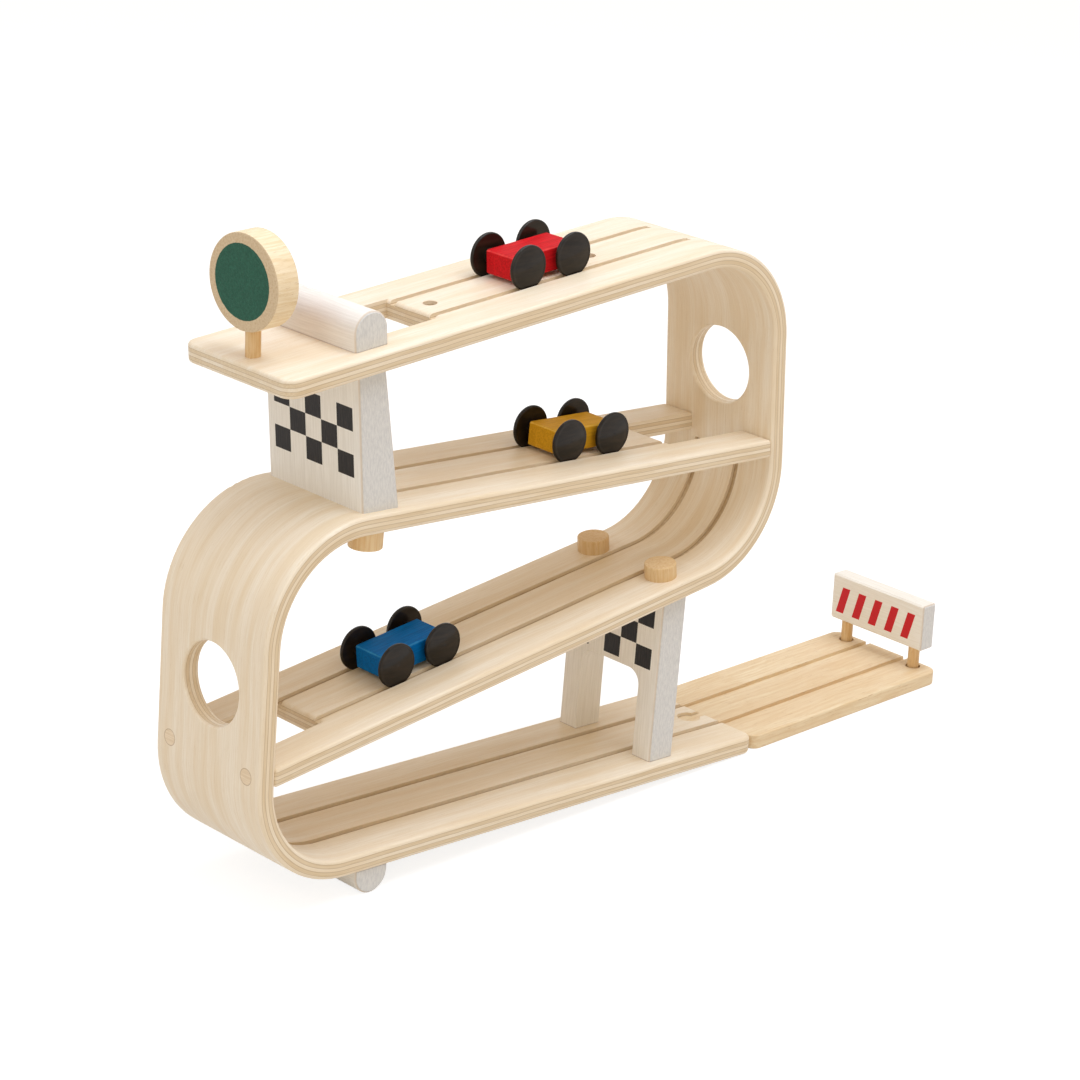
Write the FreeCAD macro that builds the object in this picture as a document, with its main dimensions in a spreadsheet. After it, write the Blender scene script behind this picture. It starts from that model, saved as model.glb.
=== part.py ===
import FreeCAD, Part

# Wooden car ramp: two bent plywood strips screwed together into four sloping runs, with a
# start block, a tower, an arch, a foot, a turning sign, a lift-off end track with a
# barrier, and three rolling cars. Millimetres and degrees, +Z up, cars run along X,
# the open front faces -Y. Places along X are measured from the left wall and moved at
# the end, so that the origin is below the middle of the whole toy, on the ground.
import math
import os

import Sketcher

doc = FreeCAD.newDocument("CarRamp")

# Driving sizes
SIZES = {
    # the bent strips
    "lane_width": 96,
    "ply_thickness": 11.7,
    "bend_radius": 70,
    "edge_round": 2,
    "corner_round": 9,
    "end_round": 8,
    # the four runs, first at the top: height above the ground at the left wall, and slope
    "first_height": 331.1,
    "first_slope": 3.565,
    "second_height": 245.6,
    "second_slope": 3.805,
    "third_height": 100.7,
    "third_slope": 6.362,
    "fourth_slope": 2.822,
    "deck_start": 14.9,
    "fourth_end": 416.5,
    # the walls, each leaning with its foot outwards, placed at its grip hole
    "left_wall": -0.7,
    "left_lean": 2.4,
    "left_grip_height": 141.4,
    "right_wall": 423.5,
    "right_lean": 2.8,
    "right_grip_height": 257.7,
    "grip_radius": 25.5,
    "grip_edge": 1.5,
    # the wheel grooves
    "track_half": 17.5,
    "groove_width": 4.6,
    "groove_depth": 2.5,
    "groove_climb": 0.5,
    "first_groove_end": 358,
    # the openings that the cars drop through
    "slot_half": 23,
    "slot_start": 97,
    "first_strip_end": 146,
    "second_strip_end": 347.5,
    "third_strip_end": 64.5,
    "nose_round": 3,
    # spare holes in the deck
    "spare_hole_radius": 4.4,
    "left_spare_hole": 160,
    "right_spare_hole": 289,
    # start block
    "stop_place": 83.7,
    "stop_width": 24.4,
    "stop_height": 22.1,
    "stop_half_length": 37.5,
    "block_edge": 1.2,
    # tower between the first two runs
    "tower_place": 75.6,
    "tower_foot_depth": 27.7,
    "tower_top_depth": 20.5,
    "tower_half_width": 42,
    # arch between the last two runs
    "arch_place": 323.5,
    "arch_depth": 21,
    "arch_half_width": 42,
    "arch_half_opening": 26.3,
    "arch_opening_height": 57.6,
    "arch_opening_round": 10,
    # foot
    "foot_place": 85.2,
    "foot_width": 25,
    "foot_half_length": 46.5,
    # big-headed pegs
    "peg_head_radius": 10.25,
    "arch_peg_height": 9.5,
    "tower_peg_height": 13.5,
    "peg_shank_radius": 5,
    "peg_grip": 14,
    "peg_spread": 30.5,
    "peg_edge": 0.8,
    "arch_peg_setback": 8.8,
    # screws and plugs
    "screw_radius": 2,
    "screw_head_radius": 4,
    "screw_head_height": 2.6,
    "wall_screw_length": 32,
    "block_screw_length": 28,
    "plug_radius": 5.2,
    "plug_depth": 3.4,
    "wall_screw_spread": 35.5,
    "tower_screw_spread": 20,
    "arch_screw_spread": 32.7,
    # hidden dowel pins
    "pin_radius": 3,
    "pin_half_length": 6,
    "stop_pin_spread": 31,
    "foot_pin_spread": 30,
    # sign
    "sign_place": 28.2,
    "sign_rise": 44,
    "sign_radius": 28.2,
    "sign_thickness": 16,
    "sign_turn": 4,
    "sign_edge": 0.8,
    "sign_hole_depth": 7.5,
    "post_radius": 4.5,
    "post_grip": 13,
    "turning_gap": 0.08,
    # lift-off end track
    "joint_gap": 0.5,
    "track_length": 188.5,
    "track_width": 94,
    "track_thickness": 10,
    "track_edge": 1.2,
    "knob_radius": 7.3,
    "knob_neck_half": 3.5,
    "knob_reach": 13.5,
    "knob_gap": 0.4,
    "track_corner": 8,
    # barrier
    "barrier_setback": 8.5,
    "barrier_spread": 31,
    "barrier_post_radius": 4,
    "barrier_hole_radius": 5.2,
    "barrier_floor": 2,
    "board_bottom": 25.5,
    "board_height": 33.5,
    "board_half_width": 42,
    "board_thickness": 13,
    "board_grip": 12,
    # cars
    "red_place": 240.5,
    "yellow_place": 280,
    "blue_place": 145.5,
    "car_length": 50,
    "car_width": 25,
    "car_height": 15,
    "car_clearance": 2.5,
    "car_edge": 1,
    "wheel_base": 36.8,
    "wheel_radius": 13.8,
    "wheel_rim": 2.6,
    "wheel_dome": 0.9,
    "wheel_edge": 0.9,
    "hub_radius": 4.5,
    "hub_height": 1.4,
    "axle_radius": 2.5,
    "axle_gap": 0.1,
    "axle_grip": 1.8,
    "wheel_band": 2.2,
    "rolling_gap": 0.3,
}

sizes = doc.addObject("Spreadsheet::Sheet", "Sizes")
for row, (word, number) in enumerate(SIZES.items(), start=1):
    sizes.set(f"A{row}", word)
    sizes.set(f"B{row}", str(number))
    sizes.setAlias(f"B{row}", word)
layout = doc.addObject("Spreadsheet::Sheet", "Layout")
doc.recompute()

SIDES = {"near": -1, "far": 1}
# How far a cut or a joining pad runs past a face, and how close two places are the same
PAST = "1"
CLOSE = 1e-3


def value(expression):
    """The number that an expression over the two sheets gives."""
    return float(sizes.evalExpression(str(expression)))


def lay_out(word, expression):
    """Keep a place worked out from the sizes in the Layout sheet, under its own word."""
    row = lay_out.rows = lay_out.rows + 1
    layout.set(f"A{row}", word)
    layout.set(f"B{row}", "=" + expression)
    layout.setAlias(f"B{row}", word)
    doc.recompute()
    return "Layout." + word


lay_out.rows = 0


# Where the runs and walls lie. A run is its height at X = 0 and its signed slope; a wall
# is its place at its grip hole, its lean and the side that its inside faces.
PLY = "Sizes.ply_thickness"
FOURTH_HEIGHT = lay_out(
    "fourth_height",
    f"{PLY} * cos(Sizes.fourth_slope) + Sizes.fourth_end * tan(Sizes.fourth_slope)",
)
RUNS = {
    "first": ("Sizes.first_height", "Sizes.first_slope"),
    "second": ("Sizes.second_height", "(-Sizes.second_slope)"),
    "third": ("Sizes.third_height", "Sizes.third_slope"),
    "fourth": (FOURTH_HEIGHT, "(-Sizes.fourth_slope)"),
}
WALLS = {
    "left": ("Sizes.left_wall", "Sizes.left_lean", "Sizes.left_grip_height", 1),
    "right": ("Sizes.right_wall", "Sizes.right_lean", "Sizes.right_grip_height", -1),
}


def run_height(run, place, depth="0"):
    """Height of a run's surface, or of the layer `depth` below it, at a place along X."""
    height, slope = RUNS[run]
    return f"({height} + ({place}) * tan({slope}) - ({depth}) / cos({slope}))"


def crossing(word, run, run_depth, wall, wall_depth):
    """Where the layer below a run meets the layer inside a wall, as two Layout cells."""
    height, slope = RUNS[run]
    place, lean, grip, inward = WALLS[wall]
    across = lay_out(
        word + "_x",
        f"({place} + {inward} * ({wall_depth}) / cos({lean})"
        f" + {inward} * tan({lean}) * ({height} - ({run_depth}) / cos({slope}) - {grip}))"
        f" / (1 - {inward} * tan({lean}) * tan({slope}))",
    )
    return across, lay_out(word + "_z", run_height(run, across, run_depth))


def stepped(word, point, run, along, down):
    """A point moved along a run and square into it, as two Layout cells."""
    slope = RUNS[run][1]
    across = f"{point[0]} + ({along}) * cos({slope}) + ({down}) * sin({slope})"
    height = f"{point[1]} + ({along}) * sin({slope}) - ({down}) * cos({slope})"
    return lay_out(word + "_x", across), lay_out(word + "_z", height)


BEND = "Sizes.bend_radius"
BENDS = {
    "first": crossing("first_bend", "first", BEND, "right", BEND),
    "second": crossing("second_bend", "second", BEND, "left", BEND),
    "third": crossing("third_bend", "third", f"{PLY} - {BEND}", "right", BEND),
    "fourth": crossing("fourth_bend", "fourth", f"{PLY} - {BEND}", "left", BEND),
}
TRACK_START = "(Sizes.fourth_end + Sizes.joint_gap)"
MIDDLE = lay_out(
    "middle", f"({BENDS['fourth'][0]} - {BEND} + {TRACK_START} + Sizes.track_length) / 2"
)


def on_run(word, run, place, depth="0"):
    """A point on a run's surface, or on the layer below it, at a place along X."""
    return place, lay_out(word + "_z", run_height(run, place, depth))


def wall_joint(wall, run):
    """Height along the wall, from its grip hole, of the run end that is screwed to it."""
    place, lean, grip, inward = WALLS[wall]
    across, height = crossing(f"{wall}_joint", run, f"{PLY} / 2", wall, PLY)
    return lay_out(
        f"{wall}_joint_rise",
        f"{inward} * ({across} - ({place})) * sin({lean}) + ({height} - {grip}) * cos({lean})",
    )


# Where the strips end and are screwed together
JOINT_RISE = {"left": wall_joint("left", "third"), "right": wall_joint("right", "second")}
third_end_low = crossing("third_end_low", "third", PLY, "left", PLY)
third_end_top = crossing("third_end_top", "third", "0", "left", PLY)
deck_top = on_run("deck_top", "first", "Sizes.deck_start")
deck_low = stepped("deck_low", deck_top, "first", "0", PLY)
second_end_top = crossing("second_end_top", "second", "0", "right", PLY)
second_end_low = crossing("second_end_low", "second", PLY, "right", PLY)
exit_top = on_run("exit_top", "fourth", "Sizes.fourth_end")
exit_low = stepped("exit_low", exit_top, "fourth", "0", PLY)

# Where the blocks meet the runs
tower_back = on_run("tower_back", "second", "Sizes.tower_place")
TOWER_HEIGHT = lay_out(
    "tower_height",
    f"({run_height('first', 'Sizes.tower_place', PLY)} - {tower_back[1]}) * cos(Sizes.first_slope)",
)
tower_foot = stepped("tower_foot", tower_back, "second", "Sizes.tower_foot_depth / 2", "0")
tower_head = stepped(
    "tower_head", tower_back, "first", "Sizes.tower_top_depth / 2", f"-{TOWER_HEIGHT}"
)
arch_back = on_run("arch_back", "fourth", "Sizes.arch_place")
ARCH_HEIGHT = lay_out(
    "arch_height",
    f"({run_height('third', 'Sizes.arch_place', PLY)} - {arch_back[1]})"
    " / (cos(Sizes.fourth_slope) - sin(Sizes.fourth_slope) * tan(Sizes.third_slope))",
)
ARCH_RISE = "(Sizes.third_slope + Sizes.fourth_slope)"
arch_foot = stepped("arch_foot", arch_back, "fourth", "Sizes.arch_depth / 2", "0")
arch_top = stepped("arch_top", arch_back, "fourth", "0", f"-{ARCH_HEIGHT}")
arch_head = stepped("arch_head", arch_top, "third", "Sizes.arch_peg_setback", "0")
stop_seat = on_run("stop_seat", "first", "Sizes.stop_place")
foot_seat = on_run("foot_seat", "fourth", "Sizes.foot_place", PLY)
sign_seat = on_run("sign_seat", "first", "Sizes.sign_place")
SIGN_FLOOR = f"({sign_seat[1]} - Sizes.sign_hole_depth)"
SIGN_MIDDLE = f"({sign_seat[1]} + Sizes.sign_rise)"

# Where the cars stand: the run, the place on it, and each axle's point
CARS = {"red": "first", "yellow": "second", "blue": "third"}
AXLES = {"front": 1, "rear": -1}
AXLE_HEIGHT = lay_out(
    "axle_height", "Sizes.wheel_radius - Sizes.groove_depth + Sizes.rolling_gap"
)
car_seats = {}
axle_points = {}
for car, run in CARS.items():
    car_seats[car] = on_run(f"{car}_seat", run, f"Sizes.{car}_place")
    for axle, sign in AXLES.items():
        axle_points[car, axle] = stepped(
            f"{car}_{axle}", car_seats[car], run, f"{sign} * Sizes.wheel_base / 2", f"-{AXLE_HEIGHT}"
        )


# Sketching and body helpers
parts = []


def plane(body, role):
    """One of a body's own origin planes."""
    return next(item for item in body.Origin.OriginFeatures if item.Role == role)


def make_body(label, x="0", z="0", pitch="0", turn="0", y="0"):
    """A body whose own origin sits at a place along X; `pitch` leans it about Y."""
    body = doc.addObject("PartDesign::Body", label)
    body.Label = label
    set_place(body, x, y, z, pitch, turn)
    parts.append(body)
    return body


def set_place(item, x, y, z, pitch="0", turn="0"):
    """Bind a Placement: X from the left wall, a lean about Y or else a turn about Z."""
    about = FreeCAD.Vector(0, 0, 1) if turn != "0" else FreeCAD.Vector(0, 1, 0)
    item.Placement = FreeCAD.Placement(FreeCAD.Vector(), FreeCAD.Rotation(about, 1))
    item.setExpression("Placement.Base.x", f"{x} - {MIDDLE}")
    item.setExpression("Placement.Base.y", y)
    item.setExpression("Placement.Base.z", z)
    item.setExpression("Placement.Rotation.Angle", turn if turn != "0" else pitch)


def make_sketch(body, name, role, offset=(), tilt=None):
    """A sketch on an origin plane, shifted by `offset` and tilted by (axis, expression)."""
    sketch = body.newObject("Sketcher::SketchObject", name)
    sketch.AttachmentSupport = [(plane(body, role), "")]
    sketch.MapMode = "FlatFace"
    if tilt:
        turn = FreeCAD.Rotation(FreeCAD.Vector(*tilt[0]), 1)
        sketch.AttachmentOffset = FreeCAD.Placement(FreeCAD.Vector(), turn)
        sketch.setExpression("AttachmentOffset.Rotation.Angle", tilt[1])
    for letter, expression in zip("xyz", offset):
        sketch.setExpression(f"AttachmentOffset.Base.{letter}", expression)
    return sketch


def fix(sketch, kind, *where):
    """Add a dimension whose last item is an expression, and bind it."""
    *items, expression = where
    index = sketch.addConstraint(Sketcher.Constraint(kind, *items, value(expression)))
    sketch.setExpression(f"Constraints[{index}]", str(expression))


def pin_point(sketch, item, end, across, up):
    """Fix one point of a sketch by its two coordinates; "0" puts it on an axis."""
    for kind, axis, expression in (("DistanceX", -2, across), ("DistanceY", -1, up)):
        if expression == "0":
            sketch.addConstraint(Sketcher.Constraint("PointOnObject", item, end, axis))
        else:
            fix(sketch, kind, -1, 1, item, end, expression)


def vector(across, up):
    """A sketch point from two expressions."""
    return FreeCAD.Vector(value(across), value(up), 0)


def polygon(sketch, corners):
    """A closed outline through corners given as pairs of expressions."""
    points = [vector(*corner) for corner in corners]
    first = sketch.GeometryCount
    for index, point in enumerate(points):
        sketch.addGeometry(Part.LineSegment(point, points[(index + 1) % len(points)]))
    for index, corner in enumerate(corners):
        following = first + (index + 1) % len(points)
        sketch.addConstraint(Sketcher.Constraint("Coincident", first + index, 2, following, 1))
        pin_point(sketch, first + index, 1, *corner)


def rectangle(sketch, left, right, low, high):
    """A closed rectangle between four expressions."""
    polygon(sketch, [(left, low), (right, low), (right, high), (left, high)])


def circle(sketch, across, up, radius):
    """A circle by centre and radius expressions."""
    centre = vector(across, up)
    item = sketch.addGeometry(Part.Circle(centre, FreeCAD.Vector(0, 0, 1), value(radius)))
    pin_point(sketch, item, 3, across, up)
    fix(sketch, "Radius", item, radius)


def dome(sketch, half, straight):
    """A flat-bottomed outline with straight sides and a half-round top."""
    radius, height = value(half), value(straight)
    corners = [(radius, height), (radius, 0), (-radius, 0), (-radius, height)]
    points = [FreeCAD.Vector(*corner, 0) for corner in corners]
    for start, end in zip(points, points[1:]):
        sketch.addGeometry(Part.LineSegment(start, end))
    round_top = Part.Circle(FreeCAD.Vector(0, height, 0), FreeCAD.Vector(0, 0, 1), radius)
    sketch.addGeometry(Part.ArcOfCircle(round_top, 0, math.pi))
    for kind, *items in (
        ("Coincident", 0, 2, 1, 1),
        ("Coincident", 1, 2, 2, 1),
        ("Tangent", 0, 1, 3, 1),
        ("Tangent", 2, 2, 3, 2),
        ("Vertical", 0),
        ("Vertical", 2),
    ):
        sketch.addConstraint(Sketcher.Constraint(kind, *items))
    pin_point(sketch, 1, 1, half, "0")
    pin_point(sketch, 1, 2, f"-({half})", "0")
    fix(sketch, "DistanceY", -1, 1, 3, 3, straight)


def ribbon(sketch, ends, bends, outer, inner, facings):
    """Outline of a bent strip: two chains of lines and tangent arcs, closed at both ends.

    `ends` holds the outer and inner point at the start and at the finish, `bends` the arc
    centres, and `facings` the outward direction of each straight, as an angle."""
    chains = []
    for side, radius in ((0, outer), (1, inner)):
        reach = value(radius)
        stops = [vector(*ends[0][side])]
        for bend, before, after in zip(bends, facings, facings[1:]):
            centre = vector(*bend)
            for facing in (before, after):
                stops.append(centre + FreeCAD.Vector(*direction(facing)) * reach)
        stops.append(vector(*ends[1][side]))
        chain = []
        for index in range(len(bends) + 1):
            line = Part.LineSegment(stops[2 * index], stops[2 * index + 1])
            chain.append((sketch.addGeometry(line), 1, 2))
            if index < len(bends):
                chain.append(add_bend(sketch, bends[index], radius, facings[index : index + 2]))
        for (item, _, end), (following, start, _) in zip(chain, chain[1:]):
            sketch.addConstraint(Sketcher.Constraint("Tangent", item, end, following, start))
        pin_point(sketch, chain[0][0], 1, *ends[0][side])
        pin_point(sketch, chain[-1][0], 2, *ends[1][side])
        chains.append(chain)
    for position, end in ((0, 1), (-1, 2)):
        points = [vector(*pair) for pair in ends[position]]
        item = sketch.addGeometry(Part.LineSegment(*points))
        for mine, chain in ((1, chains[0]), (2, chains[1])):
            sketch.addConstraint(
                Sketcher.Constraint("Coincident", item, mine, chain[position][0], end)
            )


def direction(angle):
    """Unit direction of an angle in degrees."""
    return math.cos(math.radians(angle)), math.sin(math.radians(angle)), 0


def add_bend(sketch, centre, radius, facings):
    """One arc between two facings; returns the item and its first and last point."""
    start, finish = facings
    backwards = finish < start
    sweep = sorted(math.radians(angle) for angle in facings)
    round_edge = Part.Circle(vector(*centre), FreeCAD.Vector(0, 0, 1), value(radius))
    item = sketch.addGeometry(Part.ArcOfCircle(round_edge, *sweep))
    pin_point(sketch, item, 3, *centre)
    fix(sketch, "Radius", item, radius)
    return (item, 2, 1) if backwards else (item, 1, 2)


def add_pad(body, sketch, length, side="Symmetric"):
    """Raise a sketch evenly to both sides of its plane, or to one side."""
    pad = body.newObject("PartDesign::Pad", sketch.Name + "_pad")
    pad.Profile = sketch
    pad.SideType = side
    pad.setExpression("Length", length)
    doc.recompute()


def cut(body, sketch, depth, side="One side", backwards=False):
    """Cut a sketch into a body, and make sure that it takes material away."""
    before = body.Shape.Volume
    pocket = body.newObject("PartDesign::Pocket", sketch.Name + "_cut")
    pocket.Profile = sketch
    pocket.SideType = side
    pocket.Reversed = backwards
    pocket.setExpression("Length", depth)
    doc.recompute()
    if body.Shape.Volume >= before - CLOSE:
        raise RuntimeError(f"{pocket.Name} cuts nothing")


def dress(body, kind, size, test):
    """Round or bevel the edges of a body whose middle point and length pass a test."""
    base = body.Tip
    names = [
        f"Edge{index}"
        for index, edge in enumerate(base.Shape.Edges, start=1)
        if edge.Length > 1e-6 and test(edge_middle(edge), edge)
    ]
    if not names:
        raise RuntimeError(f"{body.Label} has no edge to dress")
    feature = body.newObject("PartDesign::" + kind, f"{body.Name}_{kind}")
    feature.Base = (base, names)
    feature.setExpression("Radius" if kind == "Fillet" else "Size", size)
    doc.recompute()
    if feature.Shape.isNull():
        raise RuntimeError(f"{feature.Name} has no shape")


def edge_middle(edge):
    """The point halfway along an edge."""
    return edge.valueAt((edge.FirstParameter + edge.LastParameter) / 2)


def edge_heading(edge):
    """The direction of an edge at its middle."""
    return edge.tangentAt((edge.FirstParameter + edge.LastParameter) / 2)


def revolve(body, sketch):
    """Turn a sketch about its own vertical axis."""
    turned = body.newObject("PartDesign::Revolution", sketch.Name + "_turned")
    turned.Profile = sketch
    turned.ReferenceAxis = (sketch, ["V_Axis"])
    turned.Angle = 360
    doc.recompute()


def rod(label, point, radius, length, pitch="0", y="0"):
    """A plain round rod from a point along its own axis, which stands upright unless leant."""
    item = doc.addObject("Part::Cylinder", label)
    item.Label = label
    item.setExpression("Radius", radius)
    item.setExpression("Height", length)
    set_place(item, point[0], y, point[1], pitch)
    parts.append(item)


# Feature planes on a strip: a run's surface, or a wall's outer face at its grip hole
def run_sketch(body, name, run):
    """A sketch on a run's surface; X runs along the surface from the left wall."""
    height, slope = RUNS[run]
    tilt = ((0, 1, 0), f"-({slope})")
    return make_sketch(body, name, "XY_Plane", ("0", "0", height), tilt)


def along(run, place):
    """Distance along a run's surface that belongs to a place along X."""
    return f"(({place}) / cos({RUNS[run][1]}))"


def wall_sketch(body, name, wall):
    """A sketch on a wall's outer face; X is the lane's width, Y runs up the wall."""
    place, lean, grip, inward = WALLS[wall]
    tilt = ((1, 0, 0), f"{inward} * {lean}")
    return make_sketch(body, name, "YZ_Plane", ("0", grip, place), tilt)


# The two bent strips
def bent_strip(label, top, wall, low, start, finish):
    """Padded outline of a strip, still with sharp edges."""
    body = make_body(label)
    sketch = make_sketch(body, label + "_outline", "XZ_Plane")
    facings = strip_facings(top, wall, low)
    bends = [BENDS[top], BENDS[low]]
    ribbon(sketch, (start, finish), bends, BEND, f"{BEND} - {PLY}", facings)
    add_pad(body, sketch, "Sizes.lane_width")
    return body


def strip_facings(top, wall, low):
    """Outward angles of a strip's top run, wall and low run, in walking order."""
    lean = value(WALLS[wall][1])
    if wall == "right":
        return [90 + value(RUNS[top][1]), lean, value(RUNS[low][1]) - 90]
    return [90 + value(RUNS[top][1]), 180 - lean, 270 + value(RUNS[low][1])]


def free_end_edges(place):
    """Test for the upright corner edges of a strip's free end."""
    half = value("Sizes.lane_width / 2")
    thick = value(PLY)

    def test(middle, edge):
        return (
            abs(middle.x - place) < thick
            and abs(abs(middle.y) - half) < CLOSE
            and abs(edge.Length - thick) < 1e-2
        )

    return test


def outline_edges(free_end, joined_end, way, corner):
    """Test for a strip's long edges and its free end's, leaving out the end on a wall.

    `way` is the side on which the free end lies, and `corner` the size of its rounding."""
    half = value("Sizes.lane_width / 2")
    thick = value(PLY)
    reach = value("Sizes." + corner) + thick / 10

    def test(middle, edge):
        on_side = abs(abs(middle.y) - half) < CLOSE
        at_free_end = (free_end - middle.x) * way < reach
        at_joint = abs(middle.x - joined_end) < thick and edge.Length < 1.2 * thick
        upright = abs(edge.Length - thick) < 1e-2 and abs(edge_heading(edge).z) > 0.9
        return (on_side and not at_joint or at_free_end) and not upright

    return test


def bend_grooves(body, run, wall, other_end):
    """Two wheel grooves along the inside of a low run, round its bend and up its wall."""
    centre = BENDS[run]
    facings = strip_facings(run, wall, run)[1:]
    lean, inward = WALLS[wall][1], WALLS[wall][3]
    radii = (f"{BEND} - {PLY} + Sizes.groove_depth", f"{BEND} - {PLY} - {PAST}")
    rise = "Sizes.groove_climb"
    top_ends = []
    run_ends = []
    for radius in radii:
        across = f"{centre[0]} - {inward} * (({radius}) * cos({lean}) - {rise} * sin({lean}))"
        height = f"{centre[1]} + ({radius}) * sin({lean}) + {rise} * cos({lean})"
        top_ends.append((across, height))
        below = f"{PLY} - {BEND} + ({radius})"
        run_ends.append((other_end, run_height(run, other_end, below)))
    for side, sign in SIDES.items():
        offset = ("0", "0", f"{-sign} * Sizes.track_half")
        sketch = make_sketch(body, f"{run}_{side}_groove", "XZ_Plane", offset)
        ribbon(sketch, (top_ends, run_ends), [centre], *radii, facings)
        cut(body, sketch, "Sizes.groove_width", "Symmetric")


def straight_grooves(body, run, start, end):
    """Two straight wheel grooves in a run's surface."""
    sketch = run_sketch(body, f"{run}_grooves", run)
    for sign in SIDES.values():
        middle = f"{sign} * Sizes.track_half"
        low = f"{middle} - Sizes.groove_width / 2"
        high = f"{middle} + Sizes.groove_width / 2"
        rectangle(sketch, along(run, start), along(run, end), low, high)
    cut(body, sketch, "Sizes.groove_depth")


def drop_opening(body, run, start, end, tongue):
    """The opening that a car drops through; the middle tongue ends in a rounded nose."""
    sketch = run_sketch(body, f"{run}_opening", run)
    half = "Sizes.slot_half"
    rectangle(sketch, along(run, start), along(run, end), f"-{half}", half)
    cut(body, sketch, f"3 * {PLY}", "Symmetric")
    place, top = value(tongue), value(run_height(run, tongue))

    def nose(middle, edge):
        close = abs(middle.x - place) < 1e-2 and abs(middle.z - top) < 1e-2
        return close and abs(edge_heading(edge).y) > 0.9

    dress(body, "Fillet", "Sizes.nose_round", nose)


def wall_openings(body, wall):
    """Grip hole, plug recesses and screw holes through a wall."""
    grip = wall_sketch(body, f"{wall}_grip", wall)
    circle(grip, "0", "0", "Sizes.grip_radius")
    cut(body, grip, f"4 * {PLY}", "Symmetric")
    radius = value("Sizes.grip_radius")
    hole = grip.Placement.inverse()

    def rim(middle, edge):
        spot = hole.multVec(middle)
        round_hole = abs(math.hypot(spot.x, spot.y) - radius) < CLOSE
        return round_hole and abs(hole.Rotation.multVec(edge_heading(edge)).z) < 0.9

    dress(body, "Fillet", "Sizes.grip_edge", rim)
    for name, radius, depth in (
        ("recess", "Sizes.plug_radius", "Sizes.plug_depth"),
        ("head", "Sizes.screw_head_radius", "Sizes.plug_depth + Sizes.screw_head_height"),
        ("shank", "Sizes.screw_radius", f"2 * {PLY}"),
    ):
        sketch = wall_sketch(body, f"{wall}_{name}", wall)
        for sign in SIDES.values():
            circle(sketch, f"{sign} * Sizes.wall_screw_spread", JOINT_RISE[wall], radius)
        cut(body, sketch, depth, backwards=wall == "left")


def joined_end_holes(body, wall):
    """Screw holes in the end of the run that is screwed to a wall."""
    sketch = wall_sketch(body, f"{wall}_pilot", wall)
    for sign in SIDES.values():
        circle(sketch, f"{sign} * Sizes.wall_screw_spread", JOINT_RISE[wall], "Sizes.screw_radius")
    depth = "Sizes.plug_depth + Sizes.wall_screw_length"
    cut(body, sketch, depth, backwards=wall == "left")


def run_reach(run, point):
    """Distance along a run's surface of a point given as two expressions."""
    height, slope = RUNS[run]
    return f"(({point[0]}) * cos({slope}) + ({point[1]} - {height}) * sin({slope}))"


def pair(sketch, across, spread, radius):
    """Two equal circles, one on each side of the middle of the lane."""
    for sign in SIDES.values():
        circle(sketch, across, f"{sign} * {spread}", radius)


def run_holes(body, name, run, point, spread, radius, depth):
    """Two round holes square to a run, sunk from its surface, or through when deep."""
    sketch = run_sketch(body, name, run)
    pair(sketch, run_reach(run, point), spread, radius)
    cut(body, sketch, depth)


def under_holes(body, name, run, point, spread, radius, depth):
    """Two round holes square to a run, sunk from its underside."""
    height, slope = RUNS[run]
    offset = (f"{PLY} * sin({slope})", "0", f"{height} - {PLY} * cos({slope})")
    sketch = make_sketch(body, name, "XY_Plane", offset, ((0, 1, 0), f"-({slope})"))
    pair(sketch, run_reach(run, point), spread, radius)
    cut(body, sketch, depth, backwards=True)


THROUGH = f"1.5 * {PLY}"

# Upper strip: first run, right wall and third run
upper = bent_strip(
    "upper_track", "first", "right", "third", (deck_top, deck_low), (third_end_low, third_end_top)
)
deck_place = value("Sizes.deck_start")
dress(upper, "Fillet", "Sizes.corner_round", free_end_edges(deck_place))
joined_place = value(third_end_low[0])
upper_edges = outline_edges(deck_place, joined_place, -1, "corner_round")
dress(upper, "Fillet", "Sizes.edge_round", upper_edges)
drop_opening(upper, "first", "Sizes.slot_start", "Sizes.first_strip_end", "Sizes.first_strip_end")
drop_opening(upper, "third", f"-3 * {PLY}", "Sizes.third_strip_end", "Sizes.third_strip_end")
straight_grooves(upper, "first", f"Sizes.first_strip_end - {PAST}", "Sizes.first_groove_end")
bend_grooves(upper, "third", "right", f"Sizes.third_strip_end - {PLY}")
wall_openings(upper, "right")
joined_end_holes(upper, "left")
for hole in ("left_spare_hole", "right_spare_hole"):
    spare = run_sketch(upper, hole, "first")
    circle(spare, along("first", f"Sizes.{hole}"), "0", "Sizes.spare_hole_radius")
    cut(upper, spare, THROUGH)
run_holes(
    upper, "tower_screw", "first", tower_head, "Sizes.tower_screw_spread", "Sizes.screw_radius",
    THROUGH,
)
run_holes(
    upper, "tower_screw_head", "first", tower_head, "Sizes.tower_screw_spread",
    "Sizes.screw_head_radius", "Sizes.screw_head_height",
)
run_holes(
    upper, "stop_pin", "first", stop_seat, "Sizes.stop_pin_spread", "Sizes.pin_radius",
    "Sizes.pin_half_length",
)
run_holes(
    upper, "arch_peg", "third", arch_head, "Sizes.peg_spread", "Sizes.peg_shank_radius", THROUGH
)
sign_hole = make_sketch(upper, "sign_hole", "XY_Plane", ("0", "0", SIGN_FLOOR))
circle(sign_hole, "Sizes.sign_place", "0", "Sizes.post_radius + Sizes.turning_gap")
cut(upper, sign_hole, f"2 * {PLY}", backwards=True)

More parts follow.
